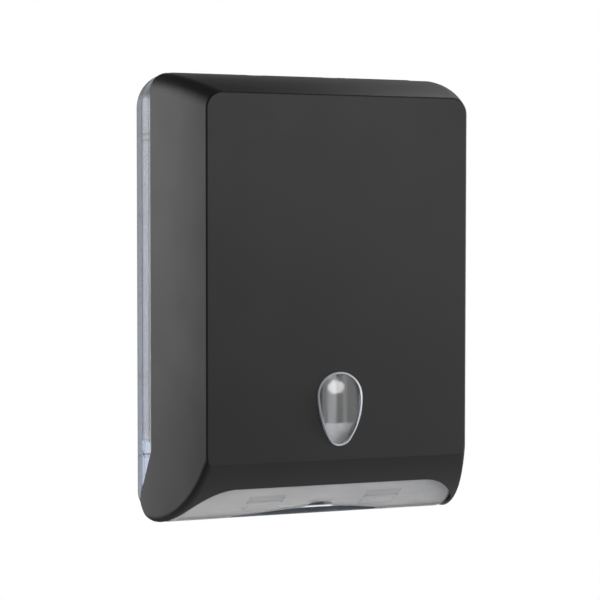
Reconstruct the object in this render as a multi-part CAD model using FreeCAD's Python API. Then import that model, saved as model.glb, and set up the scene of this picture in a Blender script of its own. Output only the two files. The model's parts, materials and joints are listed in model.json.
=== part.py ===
import FreeCAD, Part
import math
import os

from FreeCAD import Vector

# Wall dispenser for folded paper towels. X runs across, Y into the wall, Z up.
# The origin is the middle of the back, in the plane of the wall.

# Overall size
width = 288.0
height = 400.0
depth = 130.0

# Cover: the outer form
cover_wall = 2.4
cover_rear = 35.0
cover_step = 2.6
panel_margin = 23.8
panel_top_drop = 24.8
side_crown = 2.4
rear_corner_radius = 16.0
panel_corner_radius = 14.5
panel_edge_radius = 1.8
crease_radius = 6.0
bottom_radius = 112.5
bottom_low_depth = 30.0

# Hinge: the cover turns about pins in its lower rear corners
pivot_depth = 31.0
pivot_rise = 15.0
heel_radius = 37.0
heel_depth = 37.0
heel_corner_radius = 7.0
cheek_angle = 31.0
cheek_bend = 14.0
cheek_rise = 63.6
pin_radius = 3.0
pin_head_radius = 5.0
pin_head = 1.5
pin_running = 0.05
pin_end_gap = 0.3
hinge_boss_radius = 7.0
hinge_boss_reach = 6.5
hinge_boss_floor = 2.0
lug_radius = 8.0
lug_thickness = 5.0
lug_gap = 0.3
lug_drop = 2.0
stop_root = 5.0
stop_inner = 8.0
stop_outer = 11.5
stop_width = 3.6
stop_thickness = 2.2
opening_angle = 90.0
stop_play_angle = 1.0

# Cover: the cut-away bottom
cutout_rise = 37.5
cutout_radius = 34.0
cutout_margin = 3.0

# Level window, a drop with its wide end up
window_low_rise = 73.3
window_wide_radius = 20.8
window_tip_radius = 11.5
window_side_radius = 75.0
window_length = 64.0
window_wall = 2.0
window_gap = 0.25
window_proud = 6.5
window_end_proud = 0.7
window_side_proud = 2.2
window_rim_radius = 0.9
flange_width = 3.4
flange_thickness = 1.8
seat_gap = 0.1
stake_offset = 5.4
stake_radius = 1.6
stake_clearance = 0.05
stake_end = 0.6
retainer_width = 8.6
retainer_gap = 0.8
retainer_thickness = 2.0
stake_angle = 50.0

# Rear housing
rim_depth = 14.0
rim_wall = 2.2
rim_draft = 0.3
rim_step = 0.7
rim_top_radius = 32.0
rim_radius_fall = 3.5
rim_low_radius = 20.0
rim_low = 3.0
plate_thickness = 2.5
rib_rows = 2
rib_columns = 3
rib_thickness = 2.0
rib_row_share = 0.18
rib_column_share = 0.125
edge_gap = 0.4
side_wall = 2.4
collar_start = 27.0
collar_thickness = 4.6
lip_gap = 0.4
lip_reach = 6.0
lip_rise = 71.0
cheek_inner_gap = 0.8

# Wall screws
screw_margin_x = 56.0
screw_margin_z = 68.0
wall_hole_radius = 2.75
wall_boss_radius = 8.0
head_recess_radius = 5.6
head_recess_depth = 4.0

# Latch: a sprung slider under the housing's top wall
nose_drop = 14.4
nose_height = 6.1
nose_rear = 18.5
nose_crest = 1.5
nose_angle = 40.0
slider_neck_half = 8.0
slider_half = 10.0
slider_front = 34.8
slider_rear_gap = 0.3
slider_shoulder_drop = 28.0
slider_low_drop = 54.0
slider_gap = 0.3
channel_wall = 2.4
channel_low_drop = 72.0
channel_high_drop = 24.0
channel_stop = 3.7
shelf_thickness = 2.3
spigot_radius = 2.6
spigot_height = 6.0
spring_wire_radius = 0.3
spring_radius = 3.6
spring_turns = 6
spring_pocket_radius = 4.6
spring_pocket_depth = 12.0
spring_seat = 0.25
retainer_plate = 2.0
retainer_low_drop = 62.0
retainer_high_drop = 34.0
retainer_half = 24.0
retainer_corner = 3.0
post_radius = 4.5
post_x = 18.5
post_drop = 48.0

# Catch on the cover
catch_thickness = 2.0
catch_drop = 13.0
catch_hook_drop = 18.8
catch_hook_gap = 0.45
catch_half = 9.0
catch_base_half = 22.0
catch_base_rear = 42.5
catch_base_front = 54.0
catch_screw_x = 15.0
catch_screw_y = 48.2
catch_boss_radius = 4.5
catch_corner = 2.0

# Small screws
screw_radius = 1.6
screw_head_radius = 3.2
screw_head = 2.0
screw_chamfer = 0.6
screw_play = 0.05
screw_bite = 9.0
short_bite = 4.6
drive_radius = 1.0
drive_depth = 1.0

# Outlet tray
tray_wall = 2.0
tray_side_gap = 1.3
tray_shift = 4.2
tray_front = 119.5
tray_front_rise = 92.0
tray_rear_rise = 30.0
tray_rear_gap = 0.3
tray_notch_margin = 18.0
tray_notch_depth = 44.0
tray_bend = 7.0
outlet_margin = 68.0
outlet_rear = 38.0
outlet_arch_rise = 21.0
outlet_arch_front = 79.0
outlet_end_radius = 6.0
notch_half = 10.0
notch_front = 88.5
notch_radius = 8.5
notch_foot_radius = 6.0
notch_flare = 5.0
notch_root = 66.0
lip_width = 2.0
lip_height = 3.0
tab_half = 17.0
tab_margin = 89.0
tab_rear = 76.0
tab_front = 92.0
tab_height = 7.0
tab_wall = 1.4
tray_screw_margin = 44.0
tray_screw_rise = 22.0
tray_boss_radius = 4.5

# Towel guides
guide_margin = 17.2
guide_thickness = 1.8
guide_front = 85.0
guide_high_drop = 50.0
guide_low_rise = 63.0
guide_front_rise = 74.0
guide_slope_start = 60.0
guide_foot = 8.0
guide_gap = 0.1
guide_bend = 10.0
guide_bead = 1.3
hook_half = 4.0
hook_thickness = 2.0
hook_barb = 1.2
hook_slot_gap = 0.3
hook_reach = 3.0
hook_lip = 0.3
hook_end_room = 37.0
hook_count = 3
hook_gaps = hook_count - 1

# One overrun for every cut, and the length that counts as nothing
overrun = 20.0
nothing = 1e-6

# Shares of the depth at which the cover's sections stand
middle_share = 0.5
full_share = 1.0

top = height / 2
low = -height / 2
half_width = width / 2
cover_half = half_width - cover_step
panel_half_width = half_width - panel_margin
cover_top = top - cover_step
cover_run = depth - cover_rear
bottom_z = low + bottom_radius
bottom_y = -bottom_low_depth
pivot_y = -pivot_depth
pivot_z = low + pivot_rise
heel_y = -heel_depth
heel_z = bottom_z - math.sqrt((bottom_radius - heel_radius) ** 2 - (heel_y - bottom_y) ** 2)
plate_front = -rim_depth
plate_back = plate_front + plate_thickness
channel_front = -slider_front - slider_gap
window_top = low + window_low_rise + window_length
window_wide_z = window_top - window_wide_radius
window_tip_z = window_top - window_length + window_tip_radius
panel_inner = -depth + cover_wall
cheek_top = low + cheek_rise
cutout_top = low + cutout_rise
lip_low = low + lip_rise
nose_top = top - nose_drop
nose_base = nose_top - nose_height
slider_shoulder = top - slider_shoulder_drop
slider_low = top - slider_low_drop
channel_low = top - channel_low_drop
channel_high = top - channel_high_drop
retainer_low = top - retainer_low_drop
retainer_high = top - retainer_high_drop
post_z = top - post_drop
catch_low = top - catch_drop
catch_hook_low = top - catch_hook_drop
tray_front_top = low + tray_front_rise
tray_rear_top = low + tray_rear_rise
tray_notch_x = half_width - tray_notch_margin
outlet_half = half_width - outlet_margin
tab_x = half_width - tab_margin
tray_screw_x = half_width - tray_screw_margin
tray_screw_z = low + tray_screw_rise
guide_face = half_width - guide_margin
guide_high = top - guide_high_drop
guide_low = low + guide_low_rise
guide_front_low = low + guide_front_rise


def arch_radius(half, rise):
    """The radius of an arc that rises by a given height over half its span."""
    return (half ** 2 + rise ** 2) / (2 * rise)


window_dome_radius = arch_radius(window_length / 2, window_proud - window_end_proud)
window_cross_radius = arch_radius(window_wide_radius, window_proud - window_side_proud)
outlet_arch_radius = arch_radius(outlet_half, outlet_arch_rise)


def box(x0, x1, y0, y1, z0, z1):
    """A box between two corners, whichever way round they are given."""
    corner = Vector(min(x0, x1), min(y0, y1), min(z0, z1))
    return Part.makeBox(abs(x1 - x0), abs(y1 - y0), abs(z1 - z0), corner)


def rod(start, end, radius):
    """A round bar between two points."""
    axis = end.sub(start)
    return Part.makeCylinder(radius, axis.Length, start, axis)


def fused(shapes):
    """One solid made of several."""
    return shapes[0].fuse(shapes[1:]).removeSplitter()


def across(x):
    """Places an outline drawn in Y and Z at one X."""
    return lambda y, z: Vector(x, y, z)


def facing(y):
    """Places an outline drawn in X and Z at one Y."""
    return lambda x, z: Vector(x, y, z)


def level(z):
    """Places an outline drawn in X and Y at one Z."""
    return lambda x, y: Vector(x, y, z)


def rounded_wire(corners, place):
    """A closed wire through corners (a, b, radius), each turned with its own radius."""
    turns = []
    for index, (a, b, radius) in enumerate(corners):
        here = Vector(a, b, 0)
        before = Vector(*corners[index - 1][:2], 0).sub(here).normalize()
        after = Vector(*corners[(index + 1) % len(corners)][:2], 0).sub(here).normalize()
        if radius == 0:
            turns.append((here, here, here))
            continue
        half = before.getAngle(after) / 2
        inward = before.add(after).normalize()
        reach = radius / math.tan(half)
        crest = here + inward * (radius / math.sin(half) - radius)
        turns.append((here + before * reach, crest, here + after * reach))
    edges = []
    for index, (start, crest, end) in enumerate(turns):
        last_end = turns[index - 1][2]
        if last_end.distanceToPoint(start) > nothing:
            edges.append(Part.makeLine(place(last_end.x, last_end.y), place(start.x, start.y)))
        if start.distanceToPoint(end) > nothing:
            arc = Part.Arc(place(start.x, start.y), place(crest.x, crest.y), place(end.x, end.y))
            edges.append(arc.toShape())
    return Part.Wire(Part.__sortEdges__(edges))


def rounded_path(corners, place):
    """The edges of an open run through corners (a, b, radius)."""
    whole = rounded_wire(corners, place)
    first = place(corners[0][0], corners[0][1])
    last = place(corners[-1][0], corners[-1][1])
    return [edge for edge in whole.Edges if not spans(edge, first, last)]


def spans(edge, first, last):
    """Whether an edge runs from one point to another."""
    ends = [vertex.Point for vertex in edge.Vertexes]
    return all(min(end.distanceToPoint(first), end.distanceToPoint(last)) < nothing for end in ends)


def extruded(wire, direction):
    """A solid swept straight from a closed flat wire."""
    return Part.Face(wire).extrude(direction)


def arc_edge(centre, radius, start_angle, end_angle, place):
    """An arc between two angles, measured from the first axis towards the second."""
    def spot(angle):
        return place(centre[0] + radius * math.cos(angle), centre[1] + radius * math.sin(angle))
    return Part.Arc(spot(start_angle), spot((start_angle + end_angle) / 2), spot(end_angle)).toShape()


def depth_share(distance):
    """How far a plane at this distance from the wall lies between the cover's rear edge and its panel."""
    return (distance - cover_rear) / cover_run


def crown(distance):
    """How far the drafted sides and top bulge over a straight draft."""
    share = depth_share(distance)
    return side_crown * share * (full_share - share) / middle_share ** 2


def cover_half_at(distance):
    """Half the cover's width at a distance from the wall."""
    return cover_half - (cover_half - panel_half_width) * depth_share(distance) + crown(distance)


def cover_top_at(distance):
    """The height of the cover's top at a distance from the wall."""
    return cover_top - (panel_top_drop - cover_step) * depth_share(distance) + crown(distance)


def corner_radius_at(distance):
    """The radius of the cover's upper corners at a distance from the wall."""
    return rear_corner_radius - (rear_corner_radius - panel_corner_radius) * depth_share(distance)


def tall_section(distance, half, high, radius):
    """An upright section with rounded upper corners, which runs out below the object."""
    under = low - overrun
    corners = [(-half, under, 0), (half, under, 0), (half, high, radius), (-half, high, radius)]
    return rounded_wire(corners, facing(-distance))


def section_distances():
    """Where the sections of the cover's form stand."""
    return [0, cover_rear, cover_rear + cover_run * middle_share, depth]


def envelope(inset):
    """The drafted and crowned form of the cover, drawn in by an inset, from the wall to the panel."""
    wires = []
    for distance in section_distances():
        half = cover_half_at(distance) - inset
        high = cover_top_at(distance) - inset
        wires.append(tall_section(distance, half, high, corner_radius_at(distance) - inset))
    return Part.makeLoft(wires, True, False)


def bottom_angle(y, centre_y, radius):
    """The angle at which the bottom's arc passes a given Y, on its lower side."""
    return -math.acos((y - centre_y) / radius)


def cheek_line():
    """The straight part of the cover's rear edge above the heel: its angle and its reach along its normal."""
    angle = math.radians(cheek_angle)
    return angle, -cover_rear * math.cos(angle) + cheek_top * math.sin(angle)


def heel_corner():
    """The centre of the rounded corner between line and heel, and the angle at which it meets the heel."""
    angle, reach = cheek_line()
    span = heel_radius - heel_corner_radius
    across_line = reach - heel_corner_radius - heel_y * math.cos(angle) - heel_z * math.sin(angle)
    turn = angle - math.acos(across_line / span)
    return (heel_y + span * math.cos(turn), heel_z + span * math.sin(turn)), turn


def cover_profile(offset):
    """The cover from the side: panel, curved bottom, heel behind the hinge and the bent rear edge."""
    place = across(-half_width - overrun)
    ceiling = top + overrun
    front = -depth - offset
    radius = bottom_radius + offset
    front_angle = bottom_angle(front, bottom_y, radius)
    heel_angle = math.atan2(heel_z - bottom_z, heel_y - bottom_y)
    angle, reach = cheek_line()
    corner, turn = heel_corner()
    corner_radius = heel_corner_radius + offset
    bottom = arc_edge((bottom_y, bottom_z), radius, front_angle, heel_angle, place)
    heel = arc_edge((heel_y, heel_z), heel_radius + offset, heel_angle, turn, place)
    rounding = arc_edge(corner, corner_radius, turn, angle, place)
    meets = (corner[0] + corner_radius * math.cos(angle), corner[1] + corner_radius * math.sin(angle))
    rear_y = -cover_rear + offset
    bend_z = (reach + offset - rear_y * math.cos(angle)) / math.sin(angle)
    bend = rounded_path([(rear_y, ceiling, 0), (rear_y, bend_z, cheek_bend - offset), (*meets, 0)], place)
    closing = Part.makeLine(place(front, ceiling), place(front, bottom_z + radius * math.sin(front_angle)))
    roof = Part.makeLine(place(front, ceiling), place(rear_y, ceiling))
    return Part.Wire(Part.__sortEdges__(bend + [rounding, heel, bottom, closing, roof]))


def side_slab(wire):
    """A side outline swept across the whole width."""
    return extruded(wire, Vector(width + 2 * overrun, 0, 0))


def bottom_curve_slab(front, rear, radius, centre_y, ceiling):
    """Everything above an arc of the bottom, from a front plane to a rear plane."""
    place = across(-half_width - overrun)
    front_angle = bottom_angle(front, centre_y, radius)
    lowest = -math.pi / 2
    arc = arc_edge((centre_y, bottom_z), radius, front_angle, lowest, place)
    front_low = bottom_z + radius * math.sin(front_angle)
    floor = bottom_z - radius
    spots = [(centre_y, floor), (rear, floor), (rear, ceiling), (front, ceiling), (front, front_low)]
    lines = [Part.makeLine(place(*one), place(*two)) for one, two in zip(spots, spots[1:])]
    return side_slab(Part.Wire(Part.__sortEdges__([arc] + lines)))


def crease_edges(solid, arc_radius):
    """The edges where the drafted sides meet the curved bottom."""
    found = []
    for face in solid.Faces:
        surface = face.Surface
        if isinstance(surface, Part.Cylinder) and abs(surface.Radius - arc_radius) < nothing:
            for edge in face.Edges:
                centre = edge.BoundBox.Center
                spread = edge.BoundBox.YLength
                if abs(centre.x) > panel_half_width / 2 and spread > bottom_radius / 2:
                    found.append(edge)
    return found


def panel_edges(solid):
    """The edges round the flat panel."""
    found = []
    for edge in solid.Edges:
        bounds = edge.BoundBox
        if bounds.YMax < -depth + nothing * overrun:
            found.append(edge)
    return found


def window_outline(offset, y):
    """The drop: a wide arc above, a tight one below, and long arcs at the sides that touch both."""
    wide = window_wide_radius + offset
    tip = window_tip_radius + offset
    side = window_side_radius + offset
    span = window_wide_z - window_tip_z
    to_wide = side - wide
    to_tip = side - tip
    rise = (to_tip ** 2 - to_wide ** 2 - span ** 2) / (2 * span)
    side_x = math.sqrt(to_wide ** 2 - rise ** 2)
    side_z = window_wide_z + rise
    upper = math.atan2(window_wide_z - side_z, -side_x)
    lower = math.atan2(window_tip_z - side_z, -side_x)
    place = facing(y)
    half_turn = math.pi
    wide_start = upper % (2 * half_turn)
    tip_start = lower % (2 * half_turn)
    edges = [arc_edge((0, window_wide_z), wide, half_turn - wide_start, wide_start, place),
             arc_edge((side_x, side_z), side, wide_start, tip_start, place),
             arc_edge((0, window_tip_z), tip, tip_start, 3 * half_turn - tip_start, place),
             arc_edge((-side_x, side_z), side, half_turn - tip_start, half_turn - wide_start, place)]
    return Part.Wire(Part.__sortEdges__(edges))


def window_prism(offset, y0, y1):
    """The drop swept along the depth."""
    return extruded(window_outline(offset, y0), Vector(0, y1 - y0, 0))


def stake_places():
    """Where the four stakes round the window stand, seen from the front."""
    angle = math.radians(stake_angle)
    wide = window_wide_radius + stake_offset
    tip = window_tip_radius + stake_offset
    upper = (wide * math.cos(angle), window_wide_z + wide * math.sin(angle))
    lower = (tip * math.cos(angle), window_tip_z - tip * math.sin(angle))
    return [upper, (-upper[0], upper[1]), lower, (-lower[0], lower[1])]


flange_back = panel_inner + seat_gap + flange_thickness
retainer_back = flange_back + seat_gap + retainer_thickness


def hinge_inner_face():
    """The X at which the cover's hinge boss begins."""
    return cover_half_at(pivot_depth) - cover_wall - hinge_boss_reach


def radial_stop(angle, root, x0, x1):
    """A block that stands out from the hinge's axis at an angle, from a root to the stops' outer radius."""
    block = box(x0, x1, root, stop_outer, -stop_width / 2, stop_width / 2)
    block.rotate(Vector(0, 0, 0), Vector(1, 0, 0), angle)
    block.translate(Vector(0, pivot_y, pivot_z))
    return block


def stop_half_angle():
    """Half the angle that a stop block takes up at its inner end."""
    return math.degrees(math.atan2(stop_width / 2, stop_inner))


def make_cover():
    """The cover: drafted shell, open at the back and cut away at the bottom."""
    outer = envelope(0).common(bottom_curve_slab(-depth, overrun, bottom_radius, bottom_y, top + overrun))
    outer = outer.makeFillet(crease_radius, crease_edges(outer, bottom_radius))
    outer = outer.common(side_slab(cover_profile(0)))
    outer = outer.makeFillet(panel_edge_radius, panel_edges(outer))
    inner_radius = bottom_radius - cover_wall
    inner = bottom_curve_slab(panel_inner, overrun, inner_radius, bottom_y, top + overrun)
    inner = envelope(cover_wall).common(inner)
    inner = inner.makeFillet(crease_radius - cover_wall, crease_edges(inner, inner_radius))
    shell = outer.cut(inner)
    wires = []
    for distance in section_distances() + [depth + overrun]:
        half = cover_half_at(distance) - cutout_margin
        under = low - overrun
        corners = [(-half, under, 0), (half, under, 0), (half, cutout_top, cutout_radius),
                   (-half, cutout_top, cutout_radius)]
        wires.append(rounded_wire(corners, facing(-distance)))
    shell = shell.cut(Part.makeLoft(wires, True, False))
    shell = shell.cut(window_prism(window_gap, -depth - overrun, panel_inner + overrun))
    skin = envelope(cover_wall / 2)
    solids = [shell]
    for x, z in stake_places():
        reach = retainer_back + stake_end
        solids.append(rod(Vector(x, panel_inner - cover_wall / 2, z), Vector(x, reach, z), stake_radius))
    for sign in (-1, 1):
        start = Vector(sign * catch_screw_x, -catch_screw_y, catch_low + catch_thickness + seat_gap)
        post = rod(start, Vector(start.x, start.y, top), catch_boss_radius)
        solids.append(post.common(skin))
        inner_x = hinge_inner_face()
        boss_end = Vector(sign * half_width, pivot_y, pivot_z)
        boss = rod(Vector(sign * inner_x, pivot_y, pivot_z), boss_end, hinge_boss_radius)
        fin = radial_stop(cover_stop_angle(), stop_root, sign * inner_x, sign * (inner_x + stop_thickness))
        solids.append(boss.common(skin))
        solids.append(fin)
    cover = fused(solids)
    for sign in (-1, 1):
        start = Vector(sign * catch_screw_x, -catch_screw_y, catch_low + catch_thickness)
        hole = rod(start, start + Vector(0, 0, short_bite), screw_radius + screw_play)
        cover = cover.cut(hole)
        bore_end = Vector(sign * pin_bore_end(), pivot_y, pivot_z)
        bore_start = Vector(sign * (hinge_inner_face() - overrun), pivot_y, pivot_z)
        cover = cover.cut(rod(bore_start, bore_end, pin_radius + pin_running))
    return cover


def pin_bore_end():
    """The X at which the blind bore in the cover's boss ends."""
    return cover_half_at(pivot_depth) - hinge_boss_floor


def cover_stop_angle():
    """The angle of the cover's stop block when the cover is shut."""
    return -(opening_angle + stop_play_angle) - 2 * stop_half_angle()


def window_dome(inset):
    """The lens's dome, curved tightly across and gently along its length."""
    crest = -depth - window_proud + inset
    centre_z = window_top - window_length / 2
    half = window_wide_radius + flange_width
    radius = window_cross_radius - inset
    spread = math.asin(half / radius)
    down = -math.pi / 2
    rear = crest + 2 * overrun
    arc = arc_edge((0, crest + radius), radius, down - spread, down + spread, level(centre_z))
    ends = [arc.Vertexes[0].Point, arc.Vertexes[-1].Point]
    corners = [Vector(end.x, rear, centre_z) for end in ends]
    sides = [Part.makeLine(ends[0], corners[0]), Part.makeLine(*corners), Part.makeLine(corners[1], ends[1])]
    face = Part.Face(Part.Wire(Part.__sortEdges__([arc] + sides)))
    hub = Vector(0, -depth - window_proud + window_dome_radius, centre_z)
    swing = math.degrees(math.asin(window_length / window_dome_radius))
    face.rotate(hub, Vector(1, 0, 0), -swing / 2)
    return face.revolve(hub, Vector(1, 0, 0), swing)


def make_window():
    """The lens: a domed drop with a flange behind the panel, hollow from behind."""
    crest = -depth - window_proud
    outer = window_prism(0, crest - overrun, panel_inner + seat_gap).common(window_dome(0))
    rim = [edge for edge in outer.Edges if edge.BoundBox.YMax < -depth]
    outer = outer.makeFillet(window_rim_radius, rim)
    flange = window_prism(flange_width, panel_inner + seat_gap, flange_back)
    body = outer.fuse(flange)
    hollow = window_prism(-window_wall, crest - overrun, flange_back + overrun)
    hollow = hollow.common(window_dome(window_wall))
    return body.cut(hollow).removeSplitter()


def make_window_retainer():
    """The ring pressed over the stakes behind the lens's flange."""
    front = flange_back + seat_gap
    ring = window_prism(retainer_width, front, retainer_back)
    ring = ring.cut(window_prism(retainer_gap, front - overrun, retainer_back + overrun))
    for x, z in stake_places():
        start = Vector(x, front - overrun, z)
        hole = rod(start, start + Vector(0, 2 * overrun, 0), stake_radius + stake_clearance)
        ring = ring.cut(hole)
    return ring


def rim_section(distance, inset, radius):
    """The housing's outline at a distance from the wall, drawn in by an inset."""
    half = half_width - inset
    floor = low + rim_low + inset
    ceiling = top - inset
    low_radius = rim_low_radius - inset
    corners = [(-half, floor, low_radius), (half, floor, low_radius), (half, ceiling, radius),
               (-half, ceiling, radius)]
    return rounded_wire(corners, facing(-distance))


def rim_form(inset):
    """The rim band that stands off the wall."""
    front_radius = rim_top_radius - rim_radius_fall / 2
    return Part.makeLoft([rim_section(0, inset, rim_top_radius - inset),
                          rim_section(rim_depth, inset + rim_draft, front_radius - inset)], True, True)


def wall_form(inset, front):
    """The housing's walls ahead of the rim band, flush with the cover's rear edge at their front."""
    rear_inset = rim_step + inset
    front_inset = half_width - cover_half_at(cover_rear) + inset
    rear_radius = rim_top_radius - rim_radius_fall - inset
    front_radius = rear_corner_radius - inset
    share = (front - rim_depth) / (cover_rear - rim_depth)
    reach_inset = rear_inset + (front_inset - rear_inset) * share
    reach_radius = rear_radius + (front_radius - rear_radius) * share
    return Part.makeLoft([rim_section(rim_depth, rear_inset, rear_radius),
                          rim_section(front, reach_inset, reach_radius)], True, True)


def hinge_lug(sign):
    """A lug on the back plate that carries a hinge pin, with its stop block."""
    outer_x = hinge_inner_face() - lug_gap
    inner_x = outer_x - lug_thickness
    place = across(sign * inner_x)
    foot = lug_radius + lug_drop
    corners = [(plate_back, pivot_z - foot, 0), (plate_back, pivot_z + foot, 0),
               (pivot_y, pivot_z + lug_radius, 0), (pivot_y, pivot_z - lug_radius, 0)]
    web = extruded(rounded_wire(corners, place), Vector(sign * lug_thickness, 0, 0))
    eye = rod(Vector(sign * inner_x, pivot_y, pivot_z), Vector(sign * outer_x, pivot_y, pivot_z), lug_radius)
    peg = radial_stop(0, stop_inner, sign * (outer_x - lug_thickness / 2), sign * (outer_x + stop_thickness))
    lug = fused([web, eye, peg])
    bore = rod(Vector(sign * (inner_x - overrun), pivot_y, pivot_z),
               Vector(sign * (outer_x + overrun), pivot_y, pivot_z), pin_radius + pin_running)
    return lug.cut(bore)


def latch_channel():
    """The channel in which the latch slider runs, with its shelf, spigot and stops."""
    inner = slider_half + slider_gap
    outer = inner + channel_wall
    front = channel_front
    solids = [box(-outer, outer, plate_back, front, channel_low, channel_low + shelf_thickness)]
    for sign in (-1, 1):
        solids.append(box(sign * inner, sign * outer, plate_back, front, channel_low, channel_high))
        stop_x = slider_neck_half + slider_gap
        stop_z = slider_shoulder + slider_gap
        solids.append(box(sign * stop_x, sign * outer, plate_back, front, stop_z, stop_z + channel_stop))
        post = Vector(sign * post_x, plate_back, post_z)
        solids.append(rod(post, Vector(post.x, front, post.z), post_radius))
    spigot_y = -spring_axis()
    spigot = Vector(0, spigot_y, channel_low + shelf_thickness / 2)
    spigot_top = channel_low + shelf_thickness + spigot_height
    solids.append(rod(spigot, Vector(0, spigot_y, spigot_top), spigot_radius))
    return solids


def spring_axis():
    """How far the spring's axis stands from the wall."""
    return (rim_depth + slider_rear_gap + slider_front) / 2


def hook_heights():
    """The heights at which the guides hook into the back plate."""
    first = guide_low + hook_end_room
    pitch = (guide_high - hook_end_room - first) / hook_gaps
    return [first + pitch * index for index in range(hook_count)]


def make_housing():
    """The housing: rim band, back plate with ribs behind it, walls, lip, lugs, bosses and latch channel."""
    band = rim_form(0).cut(rim_form(rim_wall))
    plate_slab = box(-half_width, half_width, plate_front, plate_back, low, top)
    plate = rim_form(rim_wall / 2).common(plate_slab)
    wall_front = cover_rear - edge_gap
    wall = wall_form(0, wall_front).cut(wall_form(side_wall, wall_front))
    wall = wall.common(box(-half_width, half_width, plate_front, -wall_front, tray_rear_top, top))
    collar = wall_form(0, wall_front).cut(wall_form(collar_thickness, wall_front))
    collar = collar.common(box(-half_width, half_width, -collar_start, -cover_rear, lip_low, top))
    lip_front = wall_front + lip_reach
    lip = envelope(cover_wall + lip_gap).cut(envelope(collar_thickness + lip_gap))
    lip = lip.common(box(-half_width, half_width, -collar_start, -lip_front, lip_low, top))
    solids = [band, plate, wall, collar, lip]
    inside = rim_form(rim_wall / 2)
    for index in range(-rib_rows, rib_rows + 1):
        z = index * height * rib_row_share
        rib = box(-half_width, half_width, 0, plate_back, z - rib_thickness / 2, z + rib_thickness / 2)
        solids.append(rib.common(inside))
    for index in range(-rib_columns, rib_columns + 1):
        x = index * width * rib_column_share
        rib = box(x - rib_thickness / 2, x + rib_thickness / 2, 0, plate_back, low, top)
        solids.append(rib.common(inside))
    for x, z in wall_screw_places():
        solids.append(rod(Vector(x, 0, z), Vector(x, plate_back - plate_thickness / 2, z), wall_boss_radius))
    for sign in (-1, 1):
        boss_start = Vector(sign * tray_screw_x, plate_back - plate_thickness / 2, tray_screw_z)
        boss_end = Vector(boss_start.x, plate_front + tray_screw_length(), tray_screw_z)
        solids.append(rod(boss_start, boss_end, tray_boss_radius))
    solids.extend(latch_channel())
    housing = fused(solids)
    housing = housing.cut(cheek_room())
    housing = fused([housing, hinge_lug(-1), hinge_lug(1)])
    for x, z in wall_screw_places():
        bore = rod(Vector(x, overrun, z), Vector(x, plate_front - overrun, z), wall_hole_radius)
        recess_floor = plate_front + head_recess_depth
        recess = rod(Vector(x, recess_floor, z), Vector(x, plate_front - overrun, z), head_recess_radius)
        housing = housing.cut([bore, recess])
    for sign in (-1, 1):
        tray_hole = rod(Vector(sign * tray_screw_x, plate_front - nothing, tray_screw_z),
                        Vector(sign * tray_screw_x, plate_front + tray_screw_length(), tray_screw_z),
                        screw_radius + screw_play)
        post_hole = rod(Vector(sign * post_x, channel_front - nothing, post_z),
                        Vector(sign * post_x, channel_front + screw_bite, post_z), screw_radius + screw_play)
        housing = housing.cut([tray_hole, post_hole])
        for z in hook_heights():
            housing = housing.cut(hook_slot(sign, z))
    return housing


def tray_screw_length():
    """How far a tray screw reaches behind the back plate's front face."""
    return screw_bite


def wall_screw_places():
    """The four wall screws, seen from the front."""
    return [(x * (half_width - screw_margin_x), z * (top - screw_margin_z)) for x in (-1, 1) for z in (-1, 1)]


def cheek_room():
    """Room for the cover's cheeks at rest and as they swing, with a gap, beyond the cheeks' inner faces."""
    corner, turn = heel_corner()
    sweep = math.hypot(corner[0] - pivot_y, corner[1] - pivot_z) + heel_corner_radius + edge_gap
    end_x = half_width + overrun
    swept = rod(Vector(-end_x, pivot_y, pivot_z), Vector(end_x, pivot_y, pivot_z), sweep)
    slab = side_slab(cover_profile(edge_gap)).fuse(swept)
    inner_x = cover_half_at(pivot_depth) - cover_wall - cheek_inner_gap
    core = box(-inner_x, inner_x, overrun, -depth - overrun, low - overrun, top + overrun)
    flank = box(-half_width - overrun, half_width + overrun, overrun, -depth - overrun,
                low - overrun, lip_low)
    return slab.common(flank).cut(core)


def hook_slot(sign, z):
    """A slot in the back plate for a guide's hook."""
    face = guide_face
    gap = hook_slot_gap
    x0 = sign * (face - hook_barb - gap)
    x1 = sign * (face + hook_thickness + gap)
    return box(x0, x1, plate_front - overrun, plate_back + overrun, z - hook_half - gap, z + hook_half + gap)


def make_guide(sign):
    """A towel guide: an upright wall with a foot on the back plate and hooks through it."""
    face = guide_face
    rear = plate_front - guide_gap
    place = across(sign * face)
    corners = [(rear, guide_low, 0), (rear, guide_high, 0), (-guide_front, guide_high, guide_bend),
               (-guide_front, guide_front_low, guide_bend), (-guide_slope_start, guide_low, guide_bend)]
    wall = extruded(rounded_wire(corners, place), Vector(sign * guide_thickness, 0, 0))
    foot = box(sign * face, sign * (face + guide_foot), rear, rear - guide_thickness,
               guide_low, guide_high)
    bead_x = sign * (face + guide_thickness / 2)
    bead_y = -guide_front + guide_bead
    bead = rod(Vector(bead_x, bead_y, guide_front_low + guide_bend),
               Vector(bead_x, bead_y, guide_high - guide_bend), guide_bead)
    solids = [wall, foot, bead]
    for z in hook_heights():
        stem_end = plate_back + hook_reach
        solids.append(box(sign * face, sign * (face + hook_thickness), rear - guide_thickness / 2, stem_end,
                          z - hook_half, z + hook_half))
        barb_start = plate_back + hook_lip
        place = level(z - hook_half)
        stem_middle = sign * (face + hook_thickness / 2)
        barb = [(stem_middle, barb_start, 0), (sign * (face - hook_barb), barb_start, 0),
                (sign * face, stem_end, 0), (stem_middle, stem_end, 0)]
        solids.append(extruded(rounded_wire(barb, place), Vector(0, 0, 2 * hook_half)))
    return fused(solids)


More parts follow.
